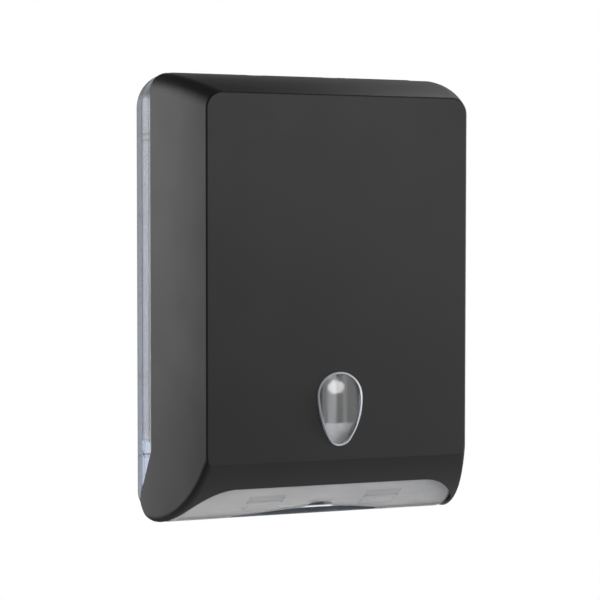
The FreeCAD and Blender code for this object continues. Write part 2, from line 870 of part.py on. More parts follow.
def tray_profile(inset, rise):
    """The tray from the side, drawn in by an inset at its front, rear and floor, and raised at its top."""
    radius = bottom_radius - inset
    centre_y = bottom_y + tray_shift
    front = -tray_front + inset
    rear = plate_front - tray_rear_gap - inset
    front_angle = bottom_angle(front, centre_y, radius)
    rear_angle = bottom_angle(rear, centre_y, radius)
    place = across(-half_width - overrun)
    arc = arc_edge((centre_y, bottom_z), radius, front_angle, rear_angle, place)
    front_low = bottom_z + radius * math.sin(front_angle)
    rear_low = bottom_z + radius * math.sin(rear_angle)
    spots = [(rear, rear_low), (rear, tray_rear_top + rise), (front, tray_front_top + rise),
             (front, front_low)]
    lines = [Part.makeLine(place(*one), place(*two)) for one, two in zip(spots, spots[1:])]
    return Part.Wire(Part.__sortEdges__([arc] + lines))


def outlet_prism(offset):
    """The outlet swept upwards through the tray's floor: an arched front lip with a finger notch."""
    half = outlet_half + offset
    under = low - overrun
    mouth = box(-half, half, -outlet_rear + offset, -depth, under, tray_rear_top)
    arch_y = outlet_arch_radius - outlet_arch_front
    arch = rod(Vector(0, arch_y, under), Vector(0, arch_y, tray_rear_top), outlet_arch_radius + offset)
    mouth = mouth.common(arch)
    corners = [edge for edge in mouth.Edges
               if edge.BoundBox.ZLength > overrun and abs(edge.BoundBox.Center.x) > outlet_half / 2]
    mouth = mouth.makeFillet(outlet_end_radius, corners)
    notch_y = -notch_front - offset
    tip = notch_half + offset
    root = tip + notch_flare
    radius = notch_radius + offset
    notch = [(root, -notch_root, 0), (tip, notch_y, radius), (-tip, notch_y, radius), (-root, -notch_root, 0)]
    finger = extruded(rounded_wire(notch, level(under)), Vector(0, 0, tray_rear_top - under))
    mouth = mouth.fuse(finger).removeSplitter()
    feet = [edge for edge in mouth.Edges if is_notch_foot(edge, arch_y, outlet_arch_radius + offset)]
    return mouth.makeFillet(notch_foot_radius - offset, feet)


def is_notch_foot(edge, arch_y, radius):
    """Whether an upright edge of the outlet is where the finger notch leaves the arch."""
    spot = edge.BoundBox.Center
    off_arch = abs(math.hypot(spot.x, spot.y - arch_y) - radius)
    return edge.BoundBox.ZLength > overrun and off_arch < seat_gap and abs(spot.x) < outlet_half / 2


def tray_plan(extra):
    """The corners left free for the hinge lugs, grown by a wall."""
    inner = tray_notch_x - extra
    back = -tray_notch_depth - extra
    return [box(sign * inner, sign * (half_width + overrun), back, overrun, low - overrun, top)
            for sign in (-1, 1)]


def make_tray():
    """The tray: curved floor, upstanding front, side and rear walls, outlet with a rolled lip, two tabs."""
    side_inset = cutout_margin + tray_side_gap
    centre_y = bottom_y + tray_shift
    skin = bottom_radius
    outer = side_slab(tray_profile(0, 0)).common(envelope(side_inset))
    outer = outer.makeFillet(tray_bend, crease_edges(outer, skin)).cut(tray_plan(0))
    hollow = side_slab(tray_profile(tray_wall, top)).common(envelope(side_inset + tray_wall))
    hollow = hollow.makeFillet(tray_bend - tray_wall, crease_edges(hollow, skin - tray_wall))
    tray = outer.cut(hollow.cut(tray_plan(tray_wall)))
    whole = bottom_curve_slab(-tray_front, plate_front - tray_rear_gap, skin - tray_wall / 2, centre_y, top)
    lip_floor = skin - tray_wall - lip_height
    tab_floor = skin - tray_wall - tab_height
    above_lip = bottom_curve_slab(-tray_front, overrun, lip_floor, centre_y, top + overrun)
    lip = outlet_prism(lip_width).common(whole).cut(above_lip)
    above_tabs = bottom_curve_slab(-tray_front, overrun, tab_floor, centre_y, top + overrun)
    solids = [tray, lip]
    for sign in (-1, 1):
        x0 = sign * (tab_x - tab_half)
        x1 = sign * (tab_x + tab_half)
        frame = box(x0, x1, -tab_rear, -tab_front, low, top)
        core = box(x0 + sign * tab_wall, x1 - sign * tab_wall, -tab_rear - tab_wall, -tab_front + tab_wall,
                   low, top)
        solids.append(frame.cut(core).common(whole).cut(above_tabs))
    tray = fused(solids).cut(outlet_prism(0))
    for sign in (-1, 1):
        hole = rod(Vector(sign * tray_screw_x, overrun, tray_screw_z),
                   Vector(sign * tray_screw_x, plate_front - overrun / 2, tray_screw_z),
                   screw_radius + screw_play)
        tray = tray.cut(hole)
    return tray


def make_screw(seat, direction, bite):
    """A pan-head screw whose head sits at a point, with its shank along a direction."""
    head = Part.makeCylinder(screw_head_radius, screw_head, seat, -direction)
    outer = [edge for edge in head.Edges
             if isinstance(edge.Curve, Part.Circle) and (edge.Curve.Center - seat).Length > screw_head / 2]
    head = head.makeChamfer(screw_chamfer, outer)
    shank = Part.makeCylinder(screw_radius, bite, seat, direction)
    crown_spot = seat - direction * screw_head
    drive = Part.makeCone(drive_radius, drive_radius / 2, drive_depth, crown_spot, direction)
    return head.fuse(shank).removeSplitter().cut(drive)


def make_tray_screws():
    """Two screws through the tray's rear wall into the back plate's bosses."""
    seat_y = plate_front - tray_rear_gap - tray_wall - seat_gap
    bite = tray_screw_length() + tray_rear_gap + tray_wall + seat_gap - pin_end_gap
    seats = [Vector(sign * tray_screw_x, seat_y, tray_screw_z) for sign in (-1, 1)]
    return Part.makeCompound([make_screw(seat, Vector(0, 1, 0), bite) for seat in seats])


def make_latch_screws():
    """Two screws through the latch retainer into its posts."""
    seat_y = channel_front - seat_gap - retainer_plate - seat_gap
    bite = seat_gap + retainer_plate + seat_gap + screw_bite - pin_end_gap
    seats = [Vector(sign * post_x, seat_y, post_z) for sign in (-1, 1)]
    return Part.makeCompound([make_screw(seat, Vector(0, 1, 0), bite) for seat in seats])


def make_catch_screws():
    """Two screws through the catch into the cover's bosses."""
    seat_z = catch_low - seat_gap
    bite = seat_gap + catch_thickness + short_bite - pin_end_gap
    seats = [Vector(sign * catch_screw_x, -catch_screw_y, seat_z) for sign in (-1, 1)]
    return Part.makeCompound([make_screw(seat, Vector(0, 0, 1), bite) for seat in seats])


def make_latch_retainer():
    """The plate that closes the slider's channel, with a hole over each post."""
    front = channel_front - seat_gap
    half = retainer_half
    spots = [(-half, retainer_low), (half, retainer_low), (half, retainer_high), (-half, retainer_high)]
    corners = [(x, z, retainer_corner) for x, z in spots]
    plate = extruded(rounded_wire(corners, facing(front)), Vector(0, -retainer_plate, 0))
    for sign in (-1, 1):
        start = Vector(sign * post_x, front + overrun, post_z)
        plate = plate.cut(rod(start, start - Vector(0, 2 * overrun, 0), screw_radius + screw_play))
    return plate


def make_latch_slider():
    """The slider: a block with shoulders, a two-sided cam nose on its neck and a pocket for the spring."""
    rear = -rim_depth - slider_rear_gap
    front = -slider_front
    block = box(-slider_half, slider_half, rear, front, slider_low, slider_shoulder)
    neck = box(-slider_neck_half, slider_neck_half, -nose_rear, front, slider_shoulder, nose_base)
    run = (nose_top - nose_base) / math.tan(math.radians(nose_angle))
    crest_rear = -nose_rear - run
    crest_front = crest_rear - nose_crest
    corners = [(-nose_rear, nose_base, 0), (crest_rear, nose_top, nose_crest / 2),
               (crest_front, nose_top, nose_crest / 2), (crest_front - run, nose_base, 0)]
    cam = extruded(rounded_wire(corners, across(-slider_neck_half)), Vector(2 * slider_neck_half, 0, 0))
    slider = fused([block, neck, cam])
    start = Vector(0, -spring_axis(), slider_low - nothing)
    return slider.cut(rod(start, start + Vector(0, 0, spring_pocket_depth), spring_pocket_radius))


def half_turn(z0, z1, side):
    """Half a turn of the spring: a tilted half ring that leaves and ends level, to join its neighbours."""
    start = Vector(side * spring_radius, -spring_axis(), z0)
    end = Vector(-side * spring_radius, -spring_axis(), z1)
    heading = Vector(0, side, 0)
    centre = (start + end) / 2
    section = Part.Face(Part.Wire(Part.makeCircle(spring_wire_radius, start, heading)))
    return section.revolve(centre, (start - centre).cross(heading), math.degrees(math.pi))


def make_latch_spring():
    """The compression spring between the shelf and the slider's pocket, with closed end turns."""
    start_z = channel_low + shelf_thickness + spring_seat + spring_wire_radius
    end_z = slider_low + spring_pocket_depth - spring_seat - spring_wire_radius
    closed = spring_wire_radius * 2 + seat_gap
    open_turns = spring_turns - 2
    open_rise = (end_z - start_z - closed * 2) / open_turns
    z = start_z
    side = 1
    halves = []
    for rise in [closed] + [open_rise] * open_turns + [closed]:
        for _ in range(2):
            halves.append(half_turn(z, z + rise / 2, side))
            z += rise / 2
            side = -side
    return fused(halves)


def make_catch():
    """The catch: a strip under the cover's top, with a hook that hangs behind the slider's nose."""
    hook_level = catch_hook_low - nose_base
    hook_front = -nose_rear - hook_level / math.tan(math.radians(nose_angle)) + catch_hook_gap
    rear = hook_front + catch_thickness
    high = catch_low + catch_thickness
    spots = [(-catch_base_half, -catch_base_rear), (catch_base_half, -catch_base_rear),
             (catch_base_half, -catch_base_front), (-catch_base_half, -catch_base_front)]
    outline = rounded_wire([(x, y, catch_corner) for x, y in spots], level(catch_low))
    base = extruded(outline, Vector(0, 0, catch_thickness))
    strip = [(-catch_base_front + catch_corner, catch_low, 0), (-catch_base_front + catch_corner, high, 0),
             (rear, high, catch_thickness), (rear, catch_hook_low, 0), (hook_front, catch_hook_low, 0),
             (hook_front, catch_low, 0)]
    arm = extruded(rounded_wire(strip, across(-catch_half)), Vector(2 * catch_half, 0, 0))
    catch = fused([base, arm])
    for sign in (-1, 1):
        start = Vector(sign * catch_screw_x, -catch_screw_y, catch_low - overrun)
        catch = catch.cut(rod(start, start + Vector(0, 0, 2 * overrun), screw_radius + screw_play))
    return catch


def make_hinge_pin(sign):
    """A pin through the lug into the cover's boss, with its head on the lug's inner face."""
    lug_inner = hinge_inner_face() - lug_gap - lug_thickness
    head_face = lug_inner - seat_gap
    start = Vector(sign * head_face, pivot_y, pivot_z)
    shank = rod(start, Vector(sign * (pin_bore_end() - pin_end_gap), pivot_y, pivot_z), pin_radius)
    head = rod(start, Vector(sign * (head_face - pin_head), pivot_y, pivot_z), pin_head_radius)
    return fused([shank, head])


def main():
    """Builds every piece and writes each to its own file."""
    os.makedirs("parts", exist_ok=True)
    pieces = {
        "rear_housing": make_housing(),
        "front_cover": make_cover(),
        "level_window": make_window(),
        "window_retainer": make_window_retainer(),
        "outlet_tray": make_tray(),
        "tray_screws": make_tray_screws(),
        "towel_guide_left": make_guide(-1),
        "towel_guide_right": make_guide(1),
        "hinge_pin_left": make_hinge_pin(-1),
        "hinge_pin_right": make_hinge_pin(1),
        "latch_slider": make_latch_slider(),
        "latch_spring": make_latch_spring(),
        "latch_retainer": make_latch_retainer(),
        "latch_screws": make_latch_screws(),
        "cover_catch": make_catch(),
        "catch_screws": make_catch_screws(),
    }
    for name, shape in pieces.items():
        shape.exportStep("parts/" + name + ".step")


main()
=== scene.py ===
import json
import math

import bmesh
import bpy
from bpy.props import FloatProperty, FloatVectorProperty, PointerProperty
from mathutils import Matrix, Vector


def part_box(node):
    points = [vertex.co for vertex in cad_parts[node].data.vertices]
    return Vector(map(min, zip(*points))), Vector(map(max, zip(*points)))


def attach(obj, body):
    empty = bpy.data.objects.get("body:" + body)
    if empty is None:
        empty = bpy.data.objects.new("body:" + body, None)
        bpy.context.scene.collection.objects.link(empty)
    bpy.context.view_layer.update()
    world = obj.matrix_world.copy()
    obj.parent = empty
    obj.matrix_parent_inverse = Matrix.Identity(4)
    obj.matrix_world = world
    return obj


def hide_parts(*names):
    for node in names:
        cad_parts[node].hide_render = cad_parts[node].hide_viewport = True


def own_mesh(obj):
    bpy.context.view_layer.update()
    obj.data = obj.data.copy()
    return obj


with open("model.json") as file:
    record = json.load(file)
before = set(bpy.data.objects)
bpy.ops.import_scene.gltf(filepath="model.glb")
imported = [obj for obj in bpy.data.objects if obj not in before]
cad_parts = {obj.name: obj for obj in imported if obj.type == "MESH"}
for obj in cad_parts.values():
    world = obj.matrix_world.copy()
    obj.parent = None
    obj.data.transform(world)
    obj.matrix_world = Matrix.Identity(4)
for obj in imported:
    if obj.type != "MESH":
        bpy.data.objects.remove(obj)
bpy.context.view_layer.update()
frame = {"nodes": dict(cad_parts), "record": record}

bl_info = {
    "name": "Folded Towel Dispenser",
    "version": (1, 0, 0),
    "blender": (4, 5, 0),
    "location": "3D View > Sidebar > Dispenser",
    "description": "Finishes, small hardware and studio for a wall dispenser of folded towels",
    "category": "Object",
}

MILLIMETRE = 0.001
SENSOR_WIDTH = 36.0
FARTHEST_SEEN = 100.0
HEAD_SIDES = 40
SHANK_SIDES = 24
THREAD_STEPS = 18


def size(name, text, default):
    """A length in metres that a user would change."""
    return FloatProperty(name=name, description=text, default=default, min=0.0, unit="LENGTH", precision=5)


def number(name, text, default, top=1.0):
    """A plain number that a user would change."""
    return FloatProperty(name=name, description=text, default=default, min=0.0, max=top)


def colour(name, text, default):
    """A colour that a user would change."""
    return FloatVectorProperty(name=name, description=text, default=default, size=3, min=0.0, max=1.0,
                               subtype="COLOR")


class ScrewSizes(bpy.types.PropertyGroup):
    """Sizes of the small pan-head screws."""
    head_radius: size("Head radius", "Radius of the pan head", 3.2 * MILLIMETRE)
    head_height: size("Head height", "Height of the pan head over its seat", 2.0 * MILLIMETRE)
    core_radius: size("Core radius", "Radius of the shank between the threads", 1.3 * MILLIMETRE)
    thread_radius: size("Thread radius", "Radius over the crests of the thread", 1.6 * MILLIMETRE)
    thread_pitch: size("Thread pitch", "Distance from crest to crest", 1.3 * MILLIMETRE)
    recess_width: size("Recess width", "Width of one arm of the cross recess", 0.75 * MILLIMETRE)
    recess_reach: size("Recess reach", "Length of one arm of the cross recess", 3.6 * MILLIMETRE)
    recess_depth: size("Recess depth", "Depth of the cross recess", 1.2 * MILLIMETRE)


class DispenserFinishes(bpy.types.PropertyGroup):
    """Colours and surface values of the dispenser's plastics and metals."""
    charcoal: colour("Charcoal", "Soft-touch plastic of the cover", (0.0150, 0.0146, 0.0144))
    charcoal_roughness: number("Charcoal roughness", "Roughness of the cover", 0.46)
    smoke: colour("Smoke", "Smoke-clear walls of the housing ahead of its rim", (0.68, 0.68, 0.73))
    rim: colour("Rim", "Thicker bluish rim of the housing at the wall", (0.060, 0.080, 0.118))
    plate: colour("Back plate", "Dark smoke of the housing's back plate", (0.030, 0.032, 0.036))
    tray: colour("Tray", "Clear grey plastic of the tray", (0.93, 0.93, 0.96))
    clear: colour("Clear", "Clear plastic of the window", (0.97, 0.975, 0.98))
    guide: colour("Guide", "Frosted grey plastic of the towel guides", (0.50, 0.52, 0.55))
    black: colour("Black", "Black moulded plastic of the hidden pieces", (0.018, 0.018, 0.019))
    natural: colour("Natural", "Natural acetal of the slider", (0.72, 0.71, 0.67))
    steel: colour("Steel", "Bare steel of pins, catch and spring", (0.56, 0.56, 0.57))
    zinc: colour("Zinc", "Zinc plating of the screws", (0.66, 0.67, 0.69))


class StudioSettings(bpy.types.PropertyGroup):
    """Camera, floor and lamps."""
    camera_distance: size("Camera distance", "From the camera to the point it looks at", 1.586835)
    camera_lens: number("Camera lens", "Focal length in millimetres", 106.40, 500.0)
    camera_yaw: FloatProperty(name="Camera yaw", description="Turn of the camera to the left of the front",
                              default=math.radians(20.8083), subtype="ANGLE")
    camera_rise: FloatProperty(name="Camera rise", description="Elevation of the camera",
                               default=math.radians(2.4332), subtype="ANGLE")
    camera_roll: FloatProperty(name="Camera roll", description="Roll of the camera",
                               default=math.radians(0.0402), subtype="ANGLE")
    camera_target: FloatVectorProperty(name="Camera target", description="Point that the camera looks at",
                                       default=(-0.01010, -0.060, -0.00337), subtype="TRANSLATION")
    floor_level: FloatProperty(name="Floor level", description="Height of the floor", default=-1.2,
                               unit="LENGTH")
    floor_half: size("Floor half width", "Half the floor's width", 1.3)
    sky_matt: number("Sky on matt surfaces", "Strength of the sky as matt surfaces see it", 0.2, 10.0)
    sky_gloss: number("Sky in gloss", "Strength of the sky ahead and above as gloss shows it", 0.06, 10.0)
    front_power: number("Front power", "Power of the softbox ahead in watts", 7.8, 1000.0)
    window_power: number("Window power", "Power of the softbox above the window in watts", 6.0, 1000.0)
    right_power: number("Right power", "Power of the softbox at the right in watts", 14.6, 1000.0)
    left_power: number("Left power", "Power of the light behind at the left in watts", 5.0, 1000.0)
    top_power: number("Top power", "Power of the light above at the right in watts", 1.7, 1000.0)


class Value:
    """A socket with a number: sums written with it become Math nodes."""

    def __init__(self, finish, socket):
        self.finish = finish
        self.socket = socket

    def sum(self, operation, first, second=0.0):
        """A Math node on two values, or on the first where its operation needs only one."""
        node = self.finish.node("ShaderNodeMath", {"operation": operation}, {0: first, 1: second})
        return Value(self.finish, node.outputs[0])

    def __add__(self, other):
        return self.sum("ADD", self, other)

    __radd__ = __add__

    def __mul__(self, other):
        return self.sum("MULTIPLY", self, other)

    __rmul__ = __mul__

    def __sub__(self, other):
        return self.sum("SUBTRACT", self, other)

    def __rsub__(self, other):
        return self.sum("SUBTRACT", other, self)

    def __pow__(self, other):
        return self.sum("POWER", self, other)

    def __abs__(self):
        return self.sum("ABSOLUTE", self)

    def __gt__(self, other):
        return self.sum("GREATER_THAN", self, other)

    def __lt__(self, other):
        return self.sum("LESS_THAN", self, other)

    def swing(self, amount):
        """A noise value as a swing either way of nothing."""
        return (self - 0.5) * amount


class Finish:
    """The nodes of a material on Object coordinates, or of the world on its directions."""

    def __init__(self, owner, coordinates="Object"):
        self.owner = owner
        owner.use_nodes = True
        self.tree = owner.node_tree
        self.tree.nodes.clear()
        self.spot = self.node("ShaderNodeTexCoord").outputs[coordinates]

    def node(self, kind, settings=None, inputs=None):
        """A node of any type: its settings first, then the values or links of its sockets."""
        made = self.tree.nodes.new(kind)
        for name, value in (settings or {}).items():
            setattr(made, name, value)
        for name, value in (inputs or {}).items():
            value = value.socket if isinstance(value, Value) else value
            if isinstance(value, bpy.types.NodeSocket):
                self.tree.links.new(value, made.inputs[name])
            else:
                made.inputs[name].default_value = value
        return made

    def noise(self, waves, detail=2.0, roughness=0.5, stretch=None):
        """A noise value with its waves in each metre, drawn out along an axis where stretch is under one."""
        spot = self.spot
        if stretch:
            spot = self.node("ShaderNodeMapping", None, {"Vector": spot, "Scale": stretch}).outputs["Vector"]
        made = self.node("ShaderNodeTexNoise", None, {"Vector": spot, "Scale": waves, "Detail": detail,
                                                      "Roughness": roughness})
        return Value(self, made.outputs["Fac"])

    def band(self, value, low, high):
        """Nothing at one limit and one at the other, smooth between them and held outside them."""
        made = self.node("ShaderNodeMapRange", {"interpolation_type": "SMOOTHSTEP"},
                         {"Value": value, "From Min": low, "From Max": high})
        return Value(self, made.outputs["Result"])

    def step(self, value, place, blur):
        """Nothing below a place and one above it, with a soft edge."""
        return self.band(value, place - blur, place + blur)

    def stripe(self, value, low, high, blur, strength=1.0):
        """A soft-edged stripe between two limits in millimetres."""
        low, high, blur = low * MILLIMETRE, high * MILLIMETRE, blur * MILLIMETRE
        return self.step(value, low, blur) * (1.0 - self.step(value, high, blur)) * strength

    def mixed(self, factor, first, second):
        """A colour between two."""
        made = self.node("ShaderNodeMix", {"data_type": "RGBA"}, {0: factor, 6: first, 7: second})
        return made.outputs[2]

    def clouded(self, noise, rgb, dark, light, low=0.3, high=0.7):
        """A colour that a noise value makes darker or lighter in places."""
        return self.mixed(self.band(noise, low, high), tone(rgb, dark), tone(rgb, light))

    def axis(self, name):
        """One of the Object coordinates, in metres."""
        parts = self.node("ShaderNodeSeparateXYZ", None, {0: self.spot})
        return Value(self, parts.outputs[name])

    def bump(self, height, strength, distance):
        """A bump made from a height value, its distance in millimetres."""
        inputs = {"Height": height, "Strength": strength, "Distance": distance * MILLIMETRE}
        return self.node("ShaderNodeBump", None, inputs).outputs["Normal"]

    def shader(self, **inputs):
        """A Principled shader."""
        named = {name.replace("_", " "): value for name, value in inputs.items()}
        return self.node("ShaderNodeBsdfPrincipled", None, named).outputs[0]

    def blend(self, factor, first, second):
        """One shader running into another."""
        return self.node("ShaderNodeMixShader", None, {0: factor, 1: first, 2: second}).outputs[0]

    def done(self, shader, kind="ShaderNodeOutputMaterial"):
        """Ends the tree with a shader."""
        self.node(kind, None, {"Surface": shader})
        return self.owner

    def surface(self, **inputs):
        """A whole material with one Principled shader."""
        return self.done(self.shader(**inputs))


def finish_named(name):
    """An empty material, ready for its nodes."""
    return Finish(bpy.data.materials.new(name))


def tone(rgb, factor=1.0):
    """A colour as four numbers, made lighter or darker."""
    return tuple(min(channel * factor, 1.0) for channel in rgb) + (1.0,)


def charcoal_finish(looks):
    """Soft-touch charcoal: fine eroded grain, faint mottling, the lower edge polished a little by hands."""
    finish = finish_named("charcoal_soft_touch")
    grain = finish.noise(waves=1500.0, detail=3.0, roughness=0.6)
    pores = finish.noise(waves=620.0)
    cloud = finish.noise(waves=9.0, detail=3.0)
    sheen = finish.noise(waves=26.0)
    mottled = finish.clouded(cloud, looks.charcoal, 0.92, 1.08)
    specks = finish.band(grain, 0.62, 0.8) * 0.35
    speckled = finish.mixed(specks, mottled, tone(looks.charcoal, 1.7))
    hands_low, hands_high = -185.0 * MILLIMETRE, -120.0 * MILLIMETRE
    handled = 1.0 - finish.band(finish.axis("Z"), hands_low, hands_high)
    rough = looks.charcoal_roughness + sheen.swing(0.07) + pores.swing(0.05) - handled * 0.03
    normal = finish.bump(grain * 0.6 + pores * 0.4, strength=0.22, distance=0.12)
    return finish.surface(Base_Color=speckled, Roughness=rough, Normal=normal, Specular_IOR_Level=0.27)


def smoke_finish(looks):
    """Smoke-clear housing: thick bluish rim and top, the rim with painted shade at the top and painted light
    towards the bottom, frosted walls with painted light patches, clear foot, dark ribbed back plate with
    pale columns of painted light.
    """
    finish = finish_named("smoke_clear")
    depth, height = finish.axis("Y"), finish.axis("Z")
    across = abs(finish.axis("X"))
    flow = finish.noise(waves=14.0, detail=3.0, stretch=(1.0, 1.0, 0.25))
    blur = 0.6 * MILLIMETRE
    rim_start, rim_reach = -13.5 * MILLIMETRE, 190.0 * MILLIMETRE
    foot_top = -129.0 * MILLIMETRE
    plate_half, plate_blur = 121.0 * MILLIMETRE, 4.0 * MILLIMETRE
    plate_front, plate_start = -15.0 * MILLIMETRE, -16.5 * MILLIMETRE
    corner_start, corner_full = 174.0 * MILLIMETRE, 182.0 * MILLIMETRE

    # Painted light and shade: the rim is darker at the top and lighter towards the bottom.
    rim_painted_light = finish.band(height, rim_reach, -rim_reach)
    rim = finish.mixed(rim_painted_light, tone(looks.rim, 0.8), tone(looks.rim, 1.45))
    in_rim = finish.step(depth, rim_start, blur)
    walls = finish.mixed(in_rim, finish.clouded(flow, looks.smoke, 0.93, 1.07), rim)
    # Painted light: pale patches on the walls ahead of the rim, one high band and one thin line lower down.
    painted_light_patches = finish.stripe(height, 163.0, 175.0, 1.0, 0.35) + finish.stripe(height, 61.0, 63.0, 0.5, 0.3)
    walls = finish.mixed(painted_light_patches * (1.0 - in_rim), walls, tone((0.85, 0.85, 0.88)))
    dark = finish.stripe(height, 143.2, 145.0, 0.6, 0.5) + finish.stripe(height, 137.6, 139.2, 0.6, 0.45)
    walls = finish.mixed(dark, walls, tone((0.10, 0.12, 0.15)))
    # Painted light: pale columns on the dark back plate.
    pale = finish.stripe(across, 30.0, 44.0, 1.2, 0.95) + finish.stripe(across, 51.0, 55.0, 0.8, 0.35)
    plate = finish.mixed(pale, tone(looks.plate), tone((0.8, 0.8, 0.82)))

    satin = finish.noise(waves=220.0)
    normal = finish.bump(satin, strength=0.02, distance=0.1)
    frosted = finish.shader(Base_Color=walls, Roughness=0.2 + flow * 0.08, Normal=normal,
                            Transmission_Weight=0.86, IOR=1.49, Specular_IOR_Level=0.3)
    smoked = finish.shader(Base_Color=plate, Roughness=0.36 + flow * 0.08, Normal=normal,
                           Transmission_Weight=0.4, IOR=1.3, Specular_IOR_Level=0.2)
    clear_tint = finish.mixed(flow, tone((0.84, 0.85, 0.88)), tone((0.88, 0.89, 0.92)))
    clear = finish.shader(Base_Color=clear_tint, Roughness=0.04 + flow * 0.03, Transmission_Weight=1.0,
                          IOR=1.2)
    thick_tint = finish.mixed(flow, tone((0.07, 0.10, 0.15)), tone((0.10, 0.13, 0.18)))
    thick = finish.shader(Base_Color=thick_tint, Roughness=0.3, Transmission_Weight=0.3, IOR=1.3,
                          Specular_IOR_Level=0.2)

    beside_plate = finish.band(across, plate_half, plate_half + plate_blur)
    foot = (1.0 - finish.step(height, foot_top, blur)) * (1.0 - in_rim) * beside_plate
    corner = finish.band(height, corner_start, corner_full) * 0.9
    on_plate = (1.0 - beside_plate) * finish.band(depth, plate_start, plate_front)
    shell = finish.blend(corner, finish.blend(foot, frosted, clear), thick)
    return finish.done(finish.blend(on_plate, shell, smoked))


def tray_finish(looks):
    """Clear grey tray: flow lines away from the gate, darker patches on the floor, painted shade towards its
    right end, and a dark blue painted shade along the mouth.
    """
    finish = finish_named("tray_clear_grey")
    flow = finish.noise(waves=18.0, detail=3.0, roughness=0.55, stretch=(0.35, 1.0, 1.0))
    wave = finish.noise(waves=42.0, stretch=(0.5, 1.0, 1.0))
    side, depth = finish.axis("X"), finish.axis("Y")
    across = abs(side)
    shade_start, shade_full = 65.0 * MILLIMETRE, 130.0 * MILLIMETRE
    mouth_half, mouth_end = 70.0 * MILLIMETRE, 82.0 * MILLIMETRE

    tint = finish.clouded(flow, looks.tray, 0.92, 1.08)
    # Painted shade: the tray darkens towards its right end.
    painted_right_shade = finish.band(side, shade_start, shade_full) * 0.38
    tint = finish.mixed(painted_right_shade, tint, tone(looks.tray, 0.45))
    patches = finish.stripe(across, 38.0, 72.0, 0.4) * finish.stripe(depth, -101.0, -91.0, 0.4, 0.3)
    tint = finish.mixed(patches, tint, tone(looks.tray, 0.5))
    # Painted shade: a dark blue band along the outlet's rear edge.
    mouth = finish.stripe(depth, -38.6, -30.0, 0.8) * (1.0 - finish.band(across, mouth_half, mouth_end))
    tint = finish.mixed(mouth, tint, tone((0.030, 0.060, 0.095)))
    normal = finish.bump(wave, strength=0.06, distance=0.6)
    return finish.surface(Base_Color=tint, Roughness=0.14 + flow * 0.08, Normal=normal,
                          Transmission_Weight=0.70, IOR=1.45)


def inset(radius, x, z):
    """How far a place is inside an arc, from its distances to the arc's middle."""
    return radius - (x * x + z * z) ** 0.5


def painted_rim_zone(finish):
    """One on the frosted edge round the drop-shaped window, whose pale colour is a painted highlight,
    nothing on its dome.
    """
    side, depth, height = (finish.axis(name) for name in "XYZ")
    width = 1.5 * MILLIMETRE
    panel = -129.9 * MILLIMETRE
    wide_radius, wide_z = 20.8 * MILLIMETRE, -83.5 * MILLIMETRE
    tip_radius, tip_z = 11.5 * MILLIMETRE, -115.2 * MILLIMETRE
    flank_radius, flank_x, flank_z = 75.0 * MILLIMETRE, -54.18 * MILLIMETRE, -82.1 * MILLIMETRE
    wide = inset(wide_radius, side, height - wide_z) > width
    tip = inset(tip_radius, side, height - tip_z) > width
    flank = inset(flank_radius, abs(side) - flank_x, height - flank_z) > width
    on_dome = wide + tip + flank * finish.stripe(height, -119.0, -82.5, 0.1)
    return (on_dome < 0.5) * (depth < panel)


def window_finish(looks):
    """Clear polished plastic with the faintest polishing waves, and a frosted edge all round the drop, its
    pale tint a painted highlight outline.
    """
    finish = finish_named("window_clear")
    waves = finish.noise(waves=45.0)
    dust = finish.noise(waves=1400.0, roughness=0.6)
    tint = finish.mixed(waves, tone(looks.clear, 0.98), tone(looks.clear))
    rough = 0.10 + finish.band(dust, 0.6, 0.85) * 0.04
    normal = finish.bump(waves, strength=0.04, distance=0.3)
    polished = finish.shader(Base_Color=tint, Roughness=rough, Normal=normal, Transmission_Weight=1.0,
                             IOR=1.49, Specular_IOR_Level=0.55)
    # Painted highlight: the pale bluish tint of the frosted edge paints the lens's bright outline.
    rim_highlight_tint = finish.mixed(waves, tone((0.72, 0.76, 0.86)), tone((0.80, 0.84, 0.92)))
    frosted = finish.shader(Base_Color=rim_highlight_tint, Roughness=0.3, Transmission_Weight=0.45, IOR=1.49)
    return finish.done(finish.blend(painted_rim_zone(finish), polished, frosted))


def guide_finish(looks):
    """Frosted grey plastic: even satin grain with faint rub marks from the towels."""
    finish = finish_named("guide_frosted")
    satin = finish.noise(waves=1100.0)
    rubs = finish.noise(waves=120.0, detail=3.0, roughness=0.6, stretch=(1.0, 0.08, 1.0))
    rubbed = finish.band(rubs, 0.58, 0.75)
    tint = finish.mixed(rubbed * 0.5, tone(looks.guide), tone(looks.guide, 1.12))
    rough = 0.42 - rubbed * 0.1 + satin.swing(0.06)
    normal = finish.bump(satin, strength=0.18, distance=0.1)
    return finish.surface(Base_Color=tint, Roughness=rough, Normal=normal,
                          Transmission_Weight=0.35, IOR=1.49)


def black_finish(looks):
    """Black moulded plastic with an eroded grain."""
    finish = finish_named("black_moulded")
    grain = finish.noise(waves=1300.0, detail=3.0, roughness=0.6)
    tint = finish.clouded(grain, looks.black, 0.85, 1.5, low=0.4, high=0.75)
    normal = finish.bump(grain, strength=0.25, distance=0.1)
    return finish.surface(Base_Color=tint, Roughness=0.45 + grain.swing(0.1), Normal=normal)


def natural_finish(looks):
    """Natural acetal: waxy, with pale rub marks where it slides."""
    finish = finish_named("natural_acetal")
    wax = finish.noise(waves=300.0, detail=3.0)
    rubs = finish.noise(waves=260.0, detail=3.0, roughness=0.6, stretch=(1.0, 1.0, 0.06))
    rubbed = finish.band(rubs, 0.55, 0.72)
    tint = finish.mixed(rubbed, tone(looks.natural, 0.95), tone(looks.natural, 1.06))
    normal = finish.bump(wax, strength=0.12, distance=0.1)
    return finish.surface(Base_Color=tint, Roughness=0.34 - rubbed * 0.08, Normal=normal,
                          Subsurface_Weight=0.12, Subsurface_Scale=0.003)


